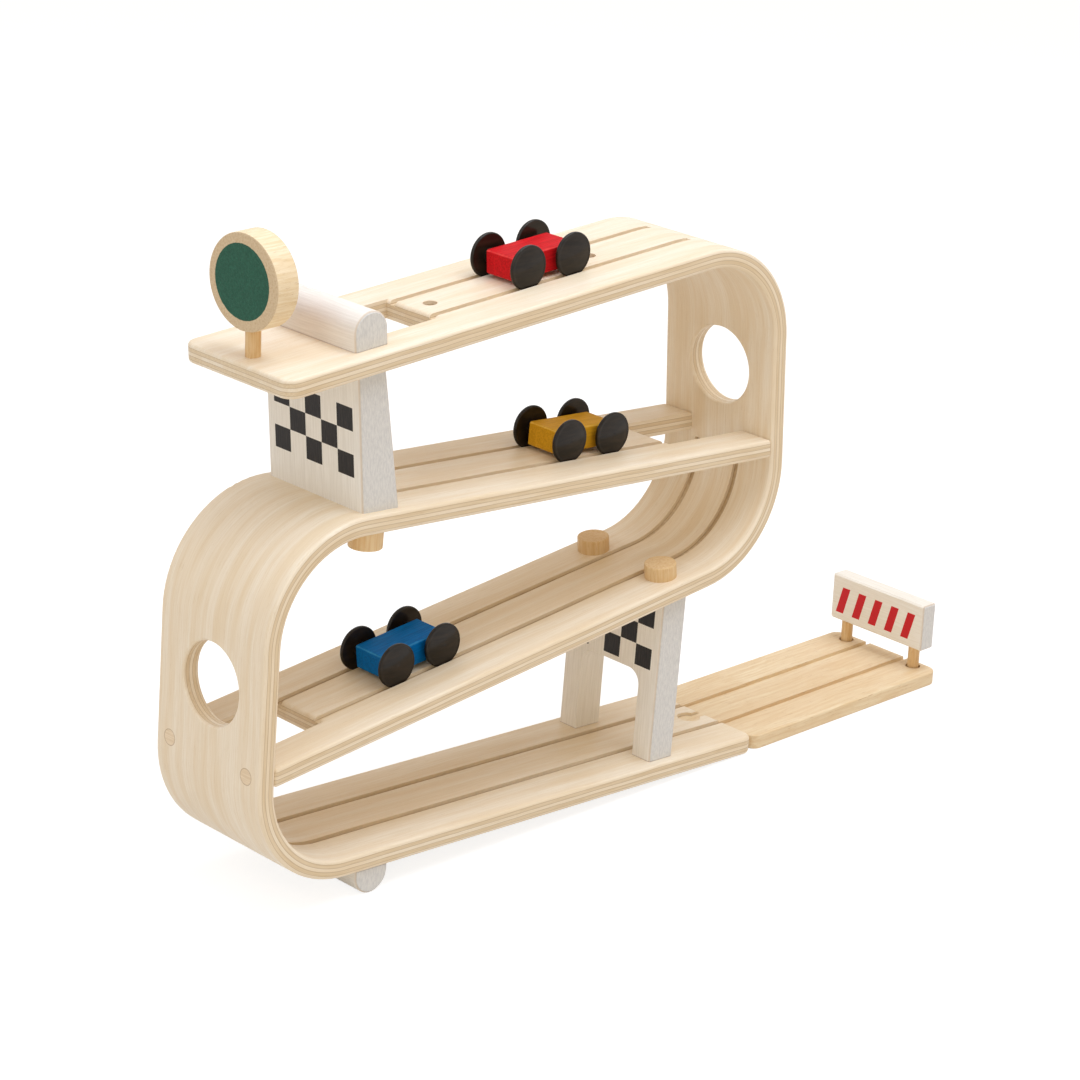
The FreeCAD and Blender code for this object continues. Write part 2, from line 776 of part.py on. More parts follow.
# Lower strip: second run, left wall and fourth run
lower = bent_strip(
    "lower_track", "second", "left", "fourth", (second_end_top, second_end_low),
    (exit_low, exit_top),
)
exit_place = value("Sizes.fourth_end")
dress(lower, "Fillet", "Sizes.end_round", free_end_edges(exit_place))
joined_place = value(second_end_low[0])
dress(lower, "Fillet", "Sizes.edge_round", outline_edges(exit_place, joined_place, 1, "end_round"))
drop_opening(
    lower, "second", "Sizes.second_strip_end", f"Sizes.right_wall + {PLY}", "Sizes.second_strip_end"
)
tower_front = "Sizes.tower_place + Sizes.tower_foot_depth"
straight_grooves(lower, "second", tower_front, f"Sizes.second_strip_end + {PAST}")
bend_grooves(lower, "fourth", "left", f"Sizes.fourth_end + {PLY}")
wall_openings(lower, "left")
joined_end_holes(lower, "right")
run_holes(
    lower, "tower_peg", "second", tower_foot, "Sizes.peg_spread", "Sizes.peg_shank_radius", THROUGH
)
run_holes(
    lower, "arch_screw", "fourth", arch_foot, "Sizes.arch_screw_spread", "Sizes.screw_radius",
    THROUGH,
)
under_holes(
    lower, "arch_screw_head", "fourth", arch_foot, "Sizes.arch_screw_spread",
    "Sizes.screw_head_radius", "Sizes.screw_head_height",
)
under_holes(
    lower, "foot_pin", "fourth", foot_seat, "Sizes.foot_pin_spread", "Sizes.pin_radius",
    "Sizes.pin_half_length",
)
socket = make_sketch(lower, "socket", "XY_Plane")
socket_place = f"{TRACK_START} - Sizes.knob_reach"
circle(socket, socket_place, "0", "Sizes.knob_radius + Sizes.knob_gap")
cut(lower, socket, f"4 * {PLY}", "Symmetric")
mouth = make_sketch(lower, "mouth", "XY_Plane")
mouth_half = "(Sizes.knob_neck_half + Sizes.knob_gap)"
rectangle(mouth, socket_place, f"{TRACK_START} + {PLY}", f"-{mouth_half}", mouth_half)
cut(lower, mouth, f"4 * {PLY}", "Symmetric")


# Wooden blocks between the runs
def block(label, point, pitch, corners, half_width):
    """A block drawn from the side, as wide as its two halves, standing at a point."""
    body = make_body(label, point[0], point[1], pitch)
    sketch = make_sketch(body, label + "_side", "XZ_Plane")
    polygon(sketch, corners)
    add_pad(body, sketch, f"2 * {half_width}")
    return body


def round_block(label, point, pitch, half, straight, half_width):
    """A half-round block lying across the lane, its flat side at its origin."""
    body = make_body(label, point[0], point[1], pitch)
    sketch = make_sketch(body, label + "_side", "XZ_Plane")
    dome(sketch, half, straight)
    add_pad(body, sketch, f"2 * {half_width}")
    reach = value(half_width)

    def rim(middle, edge):
        return abs(abs(middle.y) - reach) < CLOSE and middle.z > CLOSE

    dress(body, "Chamfer", "Sizes.block_edge", rim)
    return body


def bevel_upright(body, half_width):
    """Bevel the four upright edges of a block."""
    reach = value(half_width)

    def upright(middle, edge):
        return abs(abs(middle.y) - reach) < CLOSE and abs(edge_heading(edge).z) > 0.9

    dress(body, "Chamfer", "Sizes.block_edge", upright)


def block_holes(body, name, level, across, spread, radius, depth, upward, tilt="0"):
    """Two round holes from a level of a block, which may be tilted about Y."""
    sketch = make_sketch(body, name, "XY_Plane", ("0", "0", level), ((0, 1, 0), tilt))
    pair(sketch, across, spread, radius)
    cut(body, sketch, depth, backwards=upward)


stop = round_block(
    "start_stop", stop_seat, "-Sizes.first_slope", "Sizes.stop_width / 2",
    "Sizes.stop_height - Sizes.stop_width / 2", "Sizes.stop_half_length",
)
block_holes(
    stop, "stop_bore", "0", "0", "Sizes.stop_pin_spread", "Sizes.pin_radius",
    "Sizes.pin_half_length", True,
)

foot = round_block(
    "support_foot", foot_seat, "180 + Sizes.fourth_slope", "Sizes.foot_width / 2",
    f"({foot_seat[1]} - Sizes.foot_width / 2) / cos(Sizes.fourth_slope)", "Sizes.foot_half_length",
)
block_holes(
    foot, "foot_bore", "0", "0", "Sizes.foot_pin_spread", "Sizes.pin_radius",
    "Sizes.pin_half_length", True,
)

foot_front_x = (
    "Sizes.tower_foot_depth"
    " * (cos(Sizes.first_slope) - tan(Sizes.second_slope) * sin(Sizes.first_slope))"
)
foot_front_z = (
    "-Sizes.tower_foot_depth"
    " * (sin(Sizes.first_slope) + tan(Sizes.second_slope) * cos(Sizes.first_slope))"
)
tower_side = [
    ("0", "0"),
    (foot_front_x, foot_front_z),
    ("Sizes.tower_top_depth", TOWER_HEIGHT),
    ("0", TOWER_HEIGHT),
]
tower = block(
    "tower_block", tower_back, "-Sizes.first_slope", tower_side, "Sizes.tower_half_width"
)
bevel_upright(tower, "Sizes.tower_half_width")
block_holes(
    tower, "tower_peg_bore", "0", "Sizes.tower_foot_depth / 2", "Sizes.peg_spread",
    "Sizes.peg_shank_radius", "Sizes.peg_grip", True, "Sizes.first_slope + Sizes.second_slope",
)
block_holes(
    tower, "tower_pilot", TOWER_HEIGHT, "Sizes.tower_top_depth / 2", "Sizes.tower_screw_spread",
    "Sizes.screw_radius", f"Sizes.block_screw_length - {PLY}", False,
)

arch_side = [
    ("0", "0"),
    ("Sizes.arch_depth", "0"),
    ("Sizes.arch_depth", f"{ARCH_HEIGHT} + Sizes.arch_depth * tan{ARCH_RISE}"),
    ("0", ARCH_HEIGHT),
]
arch = block("arch_gate", arch_back, "Sizes.fourth_slope", arch_side, "Sizes.arch_half_width")
bevel_upright(arch, "Sizes.arch_half_width")
gateway = make_sketch(arch, "gateway", "YZ_Plane")
opening = ("Sizes.arch_half_opening", "Sizes.arch_opening_height")
rectangle(gateway, f"-{opening[0]}", opening[0], "0", opening[1])
cut(arch, gateway, "4 * Sizes.arch_depth", "Symmetric")
gateway_top = value(opening[1])


def gateway_corner(middle, edge):
    """The two upper corners of the gateway, running through the block."""
    return abs(middle.z - gateway_top) < CLOSE and abs(edge_heading(edge).x) > 0.9


dress(arch, "Fillet", "Sizes.arch_opening_round", gateway_corner)
block_holes(
    arch, "arch_peg_bore", ARCH_HEIGHT, "Sizes.arch_peg_setback", "Sizes.peg_spread",
    "Sizes.peg_shank_radius", "Sizes.peg_grip", False, f"-{ARCH_RISE}",
)
block_holes(
    arch, "arch_pilot", "0", "Sizes.arch_depth / 2", "Sizes.arch_screw_spread",
    "Sizes.screw_radius", f"Sizes.block_screw_length - {PLY}", True,
)


# Pegs, screws, plugs and pins
def shouldered(label, point, pitch, y, head, shank):
    """A turned part: a head and a thinner shank, each as radius, lower and upper level."""
    body = make_body(label, point[0], point[1], pitch, y=y)
    sketch = make_sketch(body, label + "_half", "XZ_Plane")
    (wide, low, high), (thin, tip) = head, shank
    outline = [("0", high), (wide, high), (wide, low), (thin, low), (thin, tip), ("0", tip)]
    polygon(sketch, outline)
    revolve(body, sketch)
    return body


def peg(label, point, pitch, y, height):
    """A big-headed peg standing on its shoulder, its head edge rounded."""
    shank = ("Sizes.peg_shank_radius", f"-({PLY} + Sizes.peg_grip)")
    body = shouldered(label, point, pitch, y, ("Sizes.peg_head_radius", "0", height), shank)
    top, wide = value(height), value("Sizes.peg_head_radius")

    def head_rim(middle, edge):
        return abs(middle.z - top) < CLOSE and abs(math.hypot(middle.x, middle.y) - wide) < CLOSE

    dress(body, "Fillet", "Sizes.peg_edge", head_rim)


def screw(label, point, pitch, y, length):
    """A flat-headed screw whose head top is at its origin."""
    head = ("Sizes.screw_head_radius", "-Sizes.screw_head_height", "0")
    shouldered(label, point, pitch, y, head, ("Sizes.screw_radius", f"-{length}"))


def wall_point(wall, depth):
    """A point of a wall at the height of its screws, some depth inside its outer face."""
    place, lean, grip, inward = WALLS[wall]
    rise = JOINT_RISE[wall]
    across = f"{place} + {inward} * ({rise} * sin({lean}) + ({depth}) * cos({lean}))"
    return across, f"{grip} + {rise} * cos({lean}) - ({depth}) * sin({lean})"


def off_run(run, point, up):
    """A point raised square from a run."""
    slope = RUNS[run][1]
    return f"{point[0]} - ({up}) * sin({slope})", f"{point[1]} + ({up}) * cos({slope})"


for side, sign in SIDES.items():
    peg_y = f"{sign} * Sizes.peg_spread"
    peg(
        f"arch_peg_{side}", off_run("third", arch_head, PLY), "-Sizes.third_slope", peg_y,
        "Sizes.arch_peg_height",
    )
    peg(
        f"tower_peg_{side}", off_run("second", tower_foot, f"-{PLY}"), "180 + Sizes.second_slope",
        peg_y, "Sizes.tower_peg_height",
    )
    screw(
        f"tower_screw_{side}", off_run("first", tower_head, PLY), "-Sizes.first_slope",
        f"{sign} * Sizes.tower_screw_spread", "Sizes.block_screw_length",
    )
    screw(
        f"arch_screw_{side}", off_run("fourth", arch_foot, f"-{PLY}"), "180 + Sizes.fourth_slope",
        f"{sign} * Sizes.arch_screw_spread", "Sizes.block_screw_length",
    )
    for wall, (_, lean, _, inward) in WALLS.items():
        seat = wall_point(wall, "Sizes.plug_depth")
        pitch = f"{-inward} * (90 - {lean})"
        wall_y = f"{sign} * Sizes.wall_screw_spread"
        rod(f"{wall}_plug_{side}", seat, "Sizes.plug_radius", "Sizes.plug_depth", pitch, wall_y)
        screw(f"{wall}_wall_screw_{side}", seat, pitch, wall_y, "Sizes.wall_screw_length")
    rod(
        f"stop_pin_{side}", off_run("first", stop_seat, "-Sizes.pin_half_length"),
        "Sizes.pin_radius", "2 * Sizes.pin_half_length", "-Sizes.first_slope",
        f"{sign} * Sizes.stop_pin_spread",
    )
    rod(
        f"foot_pin_{side}", off_run("fourth", foot_seat, "Sizes.pin_half_length"),
        "Sizes.pin_radius", "2 * Sizes.pin_half_length", "180 + Sizes.fourth_slope",
        f"{sign} * Sizes.foot_pin_spread",
    )

# The sign: a round block on a post that turns in the deck
POST_TOP_DEPTH = "(Sizes.sign_radius - Sizes.post_grip)"
rod(
    "sign_post", ("Sizes.sign_place", SIGN_FLOOR), "Sizes.post_radius",
    f"{SIGN_MIDDLE} - {POST_TOP_DEPTH} - {SIGN_FLOOR}",
)
disc = make_body("sign_disc", "Sizes.sign_place", SIGN_MIDDLE, turn="Sizes.sign_turn")
face = make_sketch(disc, "sign_face", "YZ_Plane")
circle(face, "0", "0", "Sizes.sign_radius")
add_pad(disc, face, "Sizes.sign_thickness")
dress(disc, "Fillet", "Sizes.sign_edge", lambda middle, edge: abs(edge_heading(edge).x) < 0.1)
post_bore = make_sketch(disc, "post_bore", "XY_Plane", ("0", "0", f"-{POST_TOP_DEPTH}"))
circle(post_bore, "0", "0", "Sizes.post_radius")
cut(disc, post_bore, "Sizes.sign_radius")

# The lift-off end track, joined by a round knob like a jigsaw piece
HALF_TRACK = "Sizes.track_width / 2"
track = make_body("end_track", TRACK_START)
board = make_sketch(track, "track_plan", "XY_Plane")
rectangle(board, "0", "Sizes.track_length", f"-{HALF_TRACK}", HALF_TRACK)
add_pad(track, board, "Sizes.track_thickness", "One side")
dress(track, "Fillet", "Sizes.track_corner", lambda middle, edge: abs(edge_heading(edge).z) > 0.9)
dress(track, "Fillet", "Sizes.track_edge", lambda middle, edge: abs(edge_heading(edge).z) < 0.1)
neck = make_sketch(track, "knob_neck", "XY_Plane")
rectangle(
    neck, "-Sizes.knob_reach", f"Sizes.track_edge + {PAST}", "-Sizes.knob_neck_half",
    "Sizes.knob_neck_half",
)
add_pad(track, neck, "Sizes.track_thickness", "One side")
knob = make_sketch(track, "knob", "XY_Plane")
circle(knob, "-Sizes.knob_reach", "0", "Sizes.knob_radius")
add_pad(track, knob, "Sizes.track_thickness", "One side")
track_grooves = make_sketch(track, "track_grooves", "XY_Plane", ("0", "0", "Sizes.track_thickness"))
for sign in SIDES.values():
    rectangle(
        track_grooves, f"-{PAST}", f"Sizes.track_length + {PAST}",
        f"{sign} * Sizes.track_half - Sizes.groove_width / 2",
        f"{sign} * Sizes.track_half + Sizes.groove_width / 2",
    )
cut(track, track_grooves, "Sizes.groove_depth")
barrier_holes = make_sketch(track, "barrier_holes", "XY_Plane", ("0", "0", "Sizes.track_thickness"))
pair(
    barrier_holes, "Sizes.track_length - Sizes.barrier_setback", "Sizes.barrier_spread",
    "Sizes.barrier_hole_radius",
)
cut(track, barrier_holes, "Sizes.track_thickness - Sizes.barrier_floor")

# The barrier: a board on two posts that lift out of the end track
BARRIER_PLACE = f"({TRACK_START} + Sizes.track_length - Sizes.barrier_setback)"
barrier = make_body("barrier_board", BARRIER_PLACE, "Sizes.board_bottom")
board_plan = make_sketch(barrier, "board_plan", "XY_Plane")
rectangle(
    board_plan, "-Sizes.board_thickness / 2", "Sizes.board_thickness / 2",
    "-Sizes.board_half_width", "Sizes.board_half_width",
)
add_pad(barrier, board_plan, "Sizes.board_height", "One side")
dress(barrier, "Chamfer", "Sizes.block_edge", lambda middle, edge: True)
board_bores = make_sketch(barrier, "board_bores", "XY_Plane")
pair(board_bores, "0", "Sizes.barrier_spread", "Sizes.barrier_post_radius")
cut(barrier, board_bores, "Sizes.board_grip", backwards=True)
for side, sign in SIDES.items():
    rod(
        f"barrier_post_{side}", (BARRIER_PLACE, "Sizes.barrier_floor"),
        "Sizes.barrier_post_radius", "Sizes.board_bottom + Sizes.board_grip - Sizes.barrier_floor",
        y=f"{sign} * Sizes.barrier_spread",
    )

# The cars: a block with two axle bores, two axles and four wheels
HUB_FACE = "(Sizes.track_half - Sizes.wheel_rim / 2 - Sizes.hub_height)"
AXLE_HALF = f"({HUB_FACE} + Sizes.axle_grip)"


def add_car(car, run):
    """One car standing on a run."""
    slope = RUNS[run][1]
    pitch = f"-({slope})"
    body = make_body(f"{car}_body", *car_seats[car], pitch)
    plan = make_sketch(body, f"{car}_plan", "XY_Plane", ("0", "0", "Sizes.car_clearance"))
    half_length, half_width = "Sizes.car_length / 2", "Sizes.car_width / 2"
    rectangle(plan, f"-{half_length}", half_length, f"-{half_width}", half_width)
    add_pad(body, plan, "Sizes.car_height", "One side")
    dress(body, "Chamfer", "Sizes.car_edge", lambda middle, edge: True)
    bores = make_sketch(body, f"{car}_bores", "XZ_Plane")
    for sign in AXLES.values():
        circle(
            bores, f"{sign} * Sizes.wheel_base / 2", AXLE_HEIGHT,
            "Sizes.axle_radius + Sizes.axle_gap",
        )
    cut(body, bores, "2 * Sizes.car_width", "Symmetric")
    for axle in AXLES:
        point = axle_points[car, axle]
        shaft = make_body(f"{car}_{axle}_axle", *point)
        ring = make_sketch(shaft, f"{car}_{axle}_ring", "XZ_Plane")
        circle(ring, "0", "0", "Sizes.axle_radius")
        add_pad(shaft, ring, f"2 * {AXLE_HALF}")
        for side, sign in SIDES.items():
            add_wheel(f"{car}_{axle}_{side}_wheel", point, sign)


def add_wheel(label, point, sign):
    """A turned wheel with a domed outer face and a blind hub, its outer face away from the car."""
    turn = "180" if sign < 0 else "0"
    wheel = make_body(label, *point, turn=turn, y=f"{sign} * Sizes.track_half")
    half = make_sketch(wheel, label + "_half", "XY_Plane")
    rim, reach, rise = "Sizes.wheel_rim / 2", "(Sizes.wheel_radius - Sizes.wheel_band)", "Sizes.wheel_dome"
    inner = f"-({rim} + Sizes.hub_height)"
    arc_radius = f"(({reach} ^ 2 + {rise} ^ 2) / (2 * {rise}))"
    corners = [
        ("0", inner),
        ("Sizes.hub_radius", inner),
        ("Sizes.hub_radius", f"-{rim}"),
        ("Sizes.wheel_radius", f"-{rim}"),
        ("Sizes.wheel_radius", rim),
        (reach, rim),
    ]
    points = [vector(*corner) for corner in corners]
    for start, end in zip(points, points[1:]):
        half.addGeometry(Part.LineSegment(start, end))
    last = len(points) - 2
    centre = ("0", f"{rim} + {rise} - {arc_radius}")
    lean = math.asin(value(reach) / value(arc_radius))
    sweep = Part.Circle(vector(*centre), FreeCAD.Vector(0, 0, 1), value(arc_radius))
    dome_top = half.addGeometry(Part.ArcOfCircle(sweep, math.pi / 2 - lean, math.pi / 2))
    apex = vector("0", f"{rim} + {rise}")
    axis = half.addGeometry(Part.LineSegment(apex, points[0]))
    for item in range(last):
        half.addConstraint(Sketcher.Constraint("Coincident", item, 2, item + 1, 1))
    for item, corner in enumerate(corners[:-1]):
        pin_point(half, item, 1, *corner)
    fix(half, "DistanceY", -1, 1, last, 2, rim)
    half.addConstraint(Sketcher.Constraint("Coincident", last, 2, dome_top, 1))
    half.addConstraint(Sketcher.Constraint("Coincident", dome_top, 2, axis, 1))
    half.addConstraint(Sketcher.Constraint("Coincident", axis, 2, 0, 1))
    half.addConstraint(Sketcher.Constraint("PointOnObject", dome_top, 2, -2))
    pin_point(half, dome_top, 3, *centre)
    fix(half, "Radius", dome_top, arc_radius)
    revolve(wheel, half)
    radius = value("Sizes.wheel_radius")

    def rim_edge(middle, edge):
        return abs(math.hypot(middle.x, middle.z) - radius) < CLOSE and edge.Length > radius

    dress(wheel, "Fillet", "Sizes.wheel_edge", rim_edge)
    bore = make_sketch(wheel, label + "_bore", "XZ_Plane", ("0", "0", f"-({inner})"))
    circle(bore, "0", "0", "Sizes.axle_radius")
    cut(wheel, bore, "Sizes.axle_grip")


for car, run in CARS.items():
    add_car(car, run)

# Check every object and write one file for each part
doc.recompute()
for item in doc.Objects:
    if {"Invalid", "Error"} & set(item.State):
        raise RuntimeError(f"{item.Name} can't be worked out")
for item in parts:
    if item.Shape.isNull() or not item.Shape.isValid() or len(item.Shape.Solids) != 1:
        raise RuntimeError(f"{item.Label} isn't one sound solid")
os.makedirs("parts", exist_ok=True)
for item in parts:
    item.Shape.exportStep(f"parts/{item.Label}.step")
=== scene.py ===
import math

import bpy
from mathutils import Matrix, Vector

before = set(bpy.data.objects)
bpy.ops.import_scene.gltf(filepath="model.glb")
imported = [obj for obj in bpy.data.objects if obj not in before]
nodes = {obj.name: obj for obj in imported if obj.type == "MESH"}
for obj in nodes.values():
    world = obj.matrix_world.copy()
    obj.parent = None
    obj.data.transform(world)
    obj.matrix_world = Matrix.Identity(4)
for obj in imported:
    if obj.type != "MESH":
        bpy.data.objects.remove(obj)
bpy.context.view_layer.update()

# The two bent strips. Each is one long piece of birch plywood, five veneers thick, pressed
# round a former into two runs and a wall, its edges rounded and its faces lacquered satin.
# The grain runs along the strip and follows its bends.
MM = 0.001
MIDDLE = 301.297
PLY = 11.7
VENEERS = 5
VENEER_WAVE = 0.3
VENEER_SKIN = 0.08
SEAM_FADE = (0.11, 0.03)
BEND = 70.0
FIRST_SLOPE = 3.565
SECOND_SLOPE = 3.805
THIRD_SLOPE = 6.362
FOURTH_SLOPE = 2.822
LEFT_LEAN = 2.4
RIGHT_LEAN = 2.8
UPRIGHT = 90
STRIPS = {
    "upper_track": {
        "upper": (352.18, 282.91), "lower": (356.28, 199.09), "side": 1.0, "split": 241.0,
        "facings": (UPRIGHT + FIRST_SLOPE, RIGHT_LEAN, THIRD_SLOPE - UPRIGHT),
    },
    "lower_track": {
        "upper": (70.59, 170.75), "lower": (67.09, 87.28), "side": -1.0, "split": 129.0,
        "facings": (UPRIGHT + SECOND_SLOPE, LEFT_LEAN, FOURTH_SLOPE - UPRIGHT),
    },
}
SATIN = {"roughness": 0.45, "coat": 0.1, "coat_roughness": 0.3, "gleam": 0.25}


def paint(code):
    """A colour from its six-figure screen code, as the shader takes it."""
    steps = [int(code[place : place + 2], 16) / 255 for place in (0, 2, 4)]
    light = [step / 12.92 if step <= 0.04045 else ((step + 0.055) / 1.055) ** 2.4 for step in steps]
    return (*light, 1.0)


def put(tree, kind, sockets=None, **settings):
    """Add a shader node; each socket takes a number, a colour or another node's output."""
    item = tree.nodes.new("ShaderNode" + kind)
    for word, setting in settings.items():
        setattr(item, word, setting)
    for socket, given in (sockets or {}).items():
        if isinstance(given, bpy.types.NodeSocket):
            tree.links.new(given, item.inputs[socket])
        else:
            item.inputs[socket].default_value = given
    return item


def work_out(tree, operation, *values):
    """The result of one Math node."""
    return put(tree, "Math", dict(enumerate(values)), operation=operation).outputs[0]


def times(tree, first, second):
    """Two values multiplied."""
    return work_out(tree, "MULTIPLY", first, second)


def ease(tree, given, low, high):
    """A smooth step from 0 at `low` to 1 at `high`."""
    sockets = {"Value": given, "From Min": low, "From Max": high}
    return put(tree, "MapRange", sockets, interpolation_type="SMOOTHSTEP").outputs["Result"]


def mixed(tree, share, first, second):
    """Two colours mixed by a share."""
    return put(tree, "Mix", {0: share, 6: first, 7: second}, data_type="RGBA").outputs[2]


def blended(tree, share, first, second):
    """Two numbers mixed by a share."""
    return put(tree, "Mix", {0: share, 2: first, 3: second}, data_type="FLOAT").outputs[0]


def tinted(tree, colour, mask, share, code):
    """A colour with another laid over it where a mask is high, by a share at most."""
    return mixed(tree, times(tree, mask, share), colour, paint(code))


def apart(tree, vector):
    """The three coordinates of a vector."""
    return put(tree, "SeparateXYZ", {0: vector}).outputs


def together(tree, *values):
    """A vector from its three coordinates."""
    return put(tree, "CombineXYZ", dict(enumerate(values))).outputs[0]


def own_place(tree):
    """Where a point lies in the piece's own coordinates."""
    return put(tree, "TexCoord").outputs["Object"]


def stretched(tree, vector, along, across, up):
    """A vector divided by a length along each axis."""
    sockets = {0: vector, 1: (1 / along, 1 / across, 1 / up)}
    return put(tree, "VectorMath", sockets, operation="MULTIPLY").outputs[0]


def noise(tree, vector, detail=3.0, roughness=0.55):
    """The value of one noise texture, its features about one unit wide."""
    sockets = {"Vector": vector, "Scale": 1.0, "Detail": detail, "Roughness": roughness}
    return put(tree, "TexNoise", sockets).outputs[0]


def shader_group(name, inputs, outputs):
    """A new node group, with its own input and output sockets by name."""
    group = bpy.data.node_groups.new(name, "ShaderNodeTree")
    for word, kind in inputs.items():
        group.interface.new_socket(word, in_out="INPUT", socket_type="NodeSocket" + kind)
    for word, kind in outputs.items():
        group.interface.new_socket(word, in_out="OUTPUT", socket_type="NodeSocket" + kind)
    ins = group.nodes.new("NodeGroupInput").outputs
    outs = group.nodes.new("NodeGroupOutput").inputs
    return group, ins, outs


def finish_with(name, roughness, coat=0.0, coat_roughness=0.3, gleam=0.5):
    """A material whose Principled BSDF has its steady values set on its own sockets."""
    material = bpy.data.materials.new(name)
    material.use_nodes = True
    tree = material.node_tree
    shader = tree.nodes["Principled BSDF"]
    shader.inputs["Roughness"].default_value = roughness
    shader.inputs["Coat Weight"].default_value = coat
    shader.inputs["Coat Roughness"].default_value = coat_roughness
    shader.inputs["Specular IOR Level"].default_value = gleam
    return material, tree, shader


def coloured(tree, shader, colour):
    """Give a material's shader its colour."""
    tree.links.new(colour, shader.inputs["Base Color"])


def bump(tree, shader, height, strength, distance=0.2 * MM):
    """Raise a surface by a height value."""
    sockets = {"Strength": strength, "Distance": distance, "Height": height}
    tree.links.new(put(tree, "Bump", sockets).outputs[0], shader.inputs["Normal"])


def dress_nodes(material, *names):
    """Give CAD nodes a material in the slots they came with."""
    for name in names:
        for slot in nodes[name].material_slots:
            slot.material = material


def block_place(across, height):
    """A point of the toy from its distance from the left wall and its height."""
    return ((across - MIDDLE) * MM, 0.0, height * MM)


# Distance along a bent strip, across it and into it, whatever part of it a point lies on.
# The strip is flat beyond its two bends, so the angle round a bend stops at the facings.
strip_map, given, result = shader_group(
    "strip_map",
    {
        "Position": "Vector", "Upper Centre": "Vector", "Lower Centre": "Vector", "Side": "Float",
        "Split": "Float", "Top Facing": "Float", "Wall Facing": "Float", "Low Facing": "Float",
        "Lower Shift": "Float",
    },
    {"Vector": "Vector", "Depth": "Float"},
)
place = apart(strip_map, given["Position"])
high = work_out(strip_map, "GREATER_THAN", place[2], given["Split"])
centre = put(
    strip_map, "Mix", {0: high, 4: given["Lower Centre"], 5: given["Upper Centre"]},
    data_type="VECTOR",
).outputs[1]
offset = put(strip_map, "VectorMath", {0: given["Position"], 1: centre}, operation="SUBTRACT")
offset = apart(strip_map, offset.outputs[0])
outward = times(strip_map, offset[0], given["Side"])
angle = work_out(strip_map, "ARCTAN2", offset[2], outward)
lowest = blended(strip_map, high, given["Low Facing"], given["Wall Facing"])
highest = blended(strip_map, high, given["Wall Facing"], given["Top Facing"])
angle = put(strip_map, "Clamp", {"Value": angle, "Min": lowest, "Max": highest}).outputs[0]
cosine = work_out(strip_map, "COSINE", angle)
sine = work_out(strip_map, "SINE", angle)
reach = work_out(
    strip_map, "ADD", times(strip_map, outward, cosine), times(strip_map, offset[2], sine)
)
depth = work_out(strip_map, "SUBTRACT", BEND * MM, reach)
onward = work_out(
    strip_map, "SUBTRACT", times(strip_map, offset[2], cosine), times(strip_map, outward, sine)
)
turned = times(strip_map, angle, (BEND - PLY / 2) * MM)
shift = blended(strip_map, high, given["Lower Shift"], 0.0)
distance = work_out(strip_map, "ADD", work_out(strip_map, "ADD", onward, turned), shift)
strip_map.links.new(together(strip_map, distance, place[1], depth), result["Vector"])
strip_map.links.new(depth, result["Depth"])

# Straight-grained wood: soft streaks along X, a broader figure, and short dark pores
DRIFT_LENGTH = 60 * MM
DRIFT_WIDTH = 30 * MM
FIGURE_STRETCH = (3.0, 11.0, 11.0)
PORE_STRETCH = (0.22, 0.28, 0.28)
STREAK_HEIGHT = 0.6
wood_grain, given, result = shader_group(
    "wood_grain",
    {"Vector": "Vector", "Length": "Float", "Width": "Float", "Wander": "Float"},
    {"Streaks": "Float", "Figure": "Float", "Pores": "Float", "Height": "Float"},
)
drift = stretched(wood_grain, given["Vector"], DRIFT_LENGTH, DRIFT_WIDTH, DRIFT_WIDTH)
drift = work_out(wood_grain, "SUBTRACT", noise(wood_grain, drift, 2.0), 0.5)
drift = times(wood_grain, drift, given["Wander"])
parts = apart(wood_grain, given["Vector"])
lengthwise = work_out(wood_grain, "DIVIDE", parts[0], given["Length"])
sideways, inwards = (
    work_out(wood_grain, "DIVIDE", work_out(wood_grain, "ADD", part, drift), given["Width"])
    for part in parts[1:3]
)
fibres = together(wood_grain, lengthwise, sideways, inwards)
streaks = ease(wood_grain, noise(wood_grain, fibres, 5.0, 0.62), 0.3, 0.7)
figure = noise(wood_grain, stretched(wood_grain, fibres, *FIGURE_STRETCH))
figure = ease(wood_grain, figure, 0.32, 0.68)
pores = noise(wood_grain, stretched(wood_grain, fibres, *PORE_STRETCH), 2.0)
pores = ease(wood_grain, pores, 0.62, 0.74)
wood_grain.links.new(streaks, result["Streaks"])
wood_grain.links.new(figure, result["Figure"])
wood_grain.links.new(pores, result["Pores"])
relief = work_out(wood_grain, "SUBTRACT", times(wood_grain, streaks, STREAK_HEIGHT), pores)
wood_grain.links.new(relief, result["Height"])


def grained(tree, vector, length, width, wander):
    """Grain along X, from the usual length, width and sideways wander of its fibres."""
    sockets = {"Vector": vector, "Length": length * MM, "Width": width * MM, "Wander": wander * MM}
    return put(tree, "Group", sockets, node_tree=wood_grain).outputs


